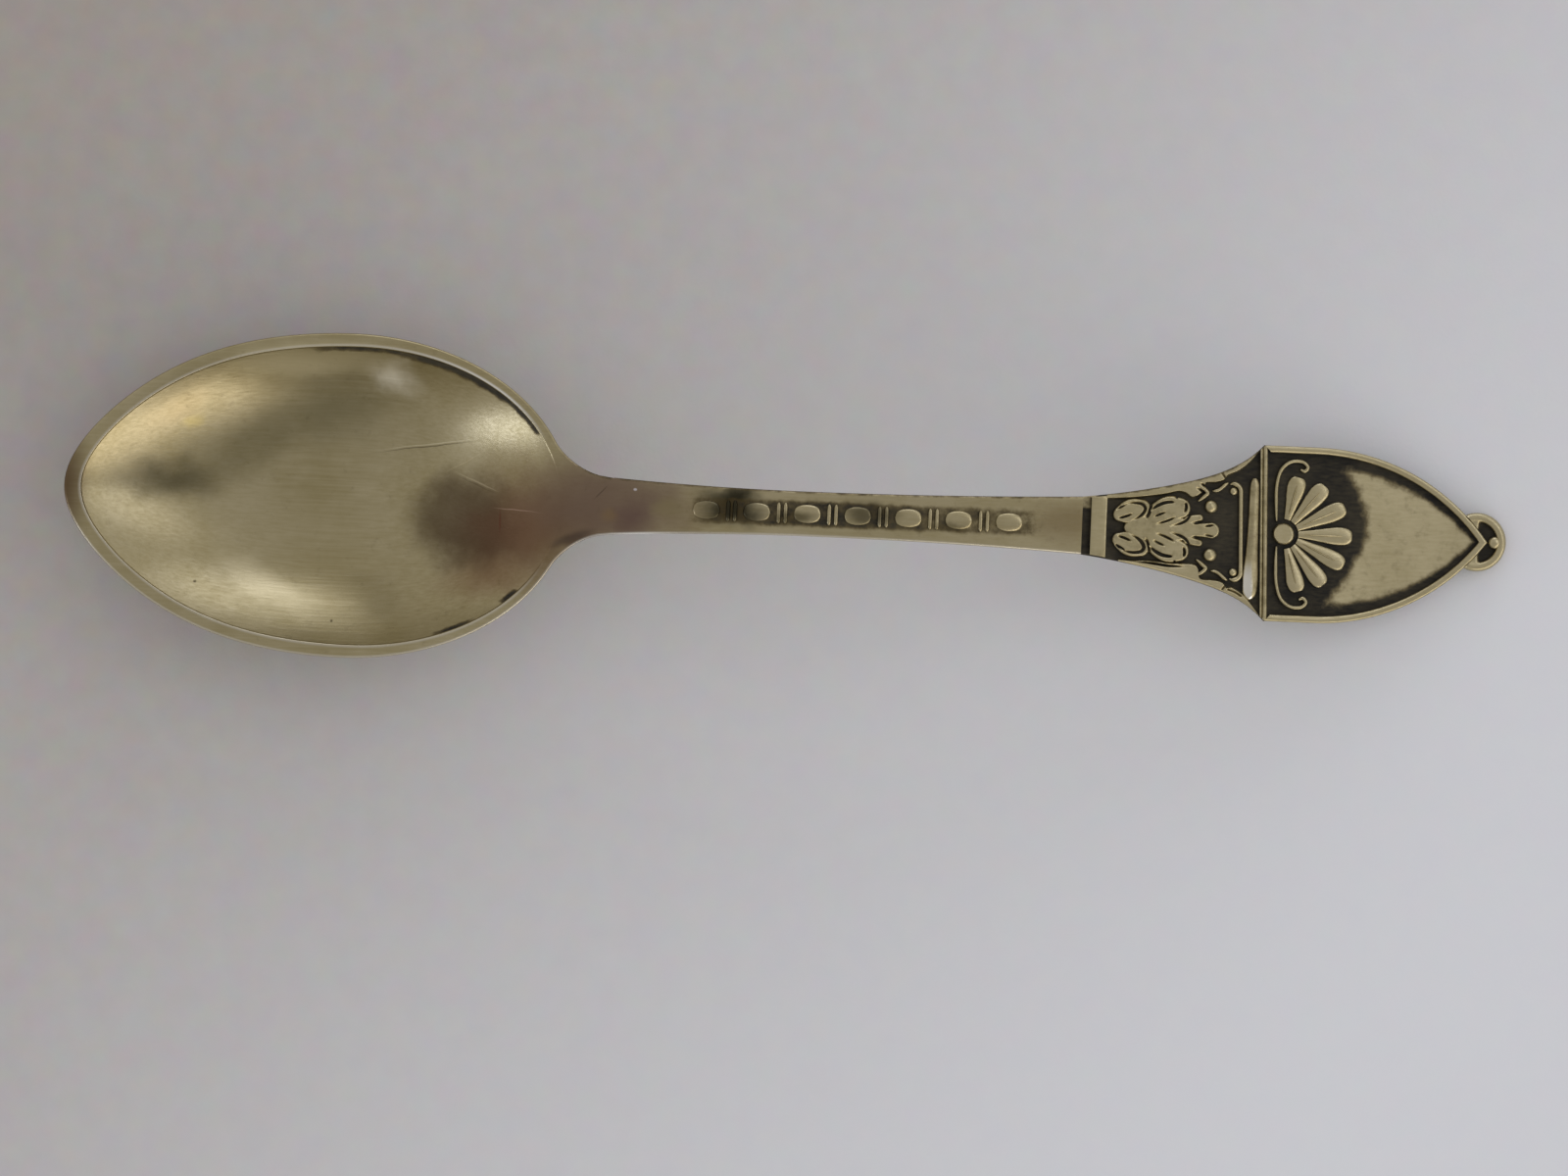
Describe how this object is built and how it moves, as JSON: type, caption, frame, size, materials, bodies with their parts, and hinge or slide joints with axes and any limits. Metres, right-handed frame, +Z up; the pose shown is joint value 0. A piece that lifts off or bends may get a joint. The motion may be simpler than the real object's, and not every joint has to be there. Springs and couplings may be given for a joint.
{
  "type": "teaspoon",
  "caption": "Small display teaspoon with an egg-shaped bowl, slim arched stem, acanthus leaf panel and pointed shield terminal with a round finial.",
  "frame": {"origin": "under the middle of the spoon's length, on the surface it lies on", "axes": "+X from the bowl to the finial, +Y across the bowl, +Z up out of the bowl"},
  "size_m": [0.115, 0.0258, 0.0124],
  "materials": {
    "worn_silver": "satin, worn silver plate with a warm tarnish",
    "oxidised_silver": "silver plate darkened by oxidation in the sunk grounds"
  },
  "bodies": {
    "root": {"bowl": "worn_silver", "stem": "worn_silver", "stem_beading": "worn_silver", "leaf_panel": "oxidised_silver", "collar": "worn_silver", "leaf_spray": "worn_silver", "edge_straps": "worn_silver", "pearls": "worn_silver", "scroll_bracket": "worn_silver", "ledge": "worn_silver", "shield_plate": "oxidised_silver", "shield_border": "worn_silver", "palmette": "worn_silver", "finial_loop": "worn_silver", "finial_bead": "worn_silver"}
  },
  "joints": []
}
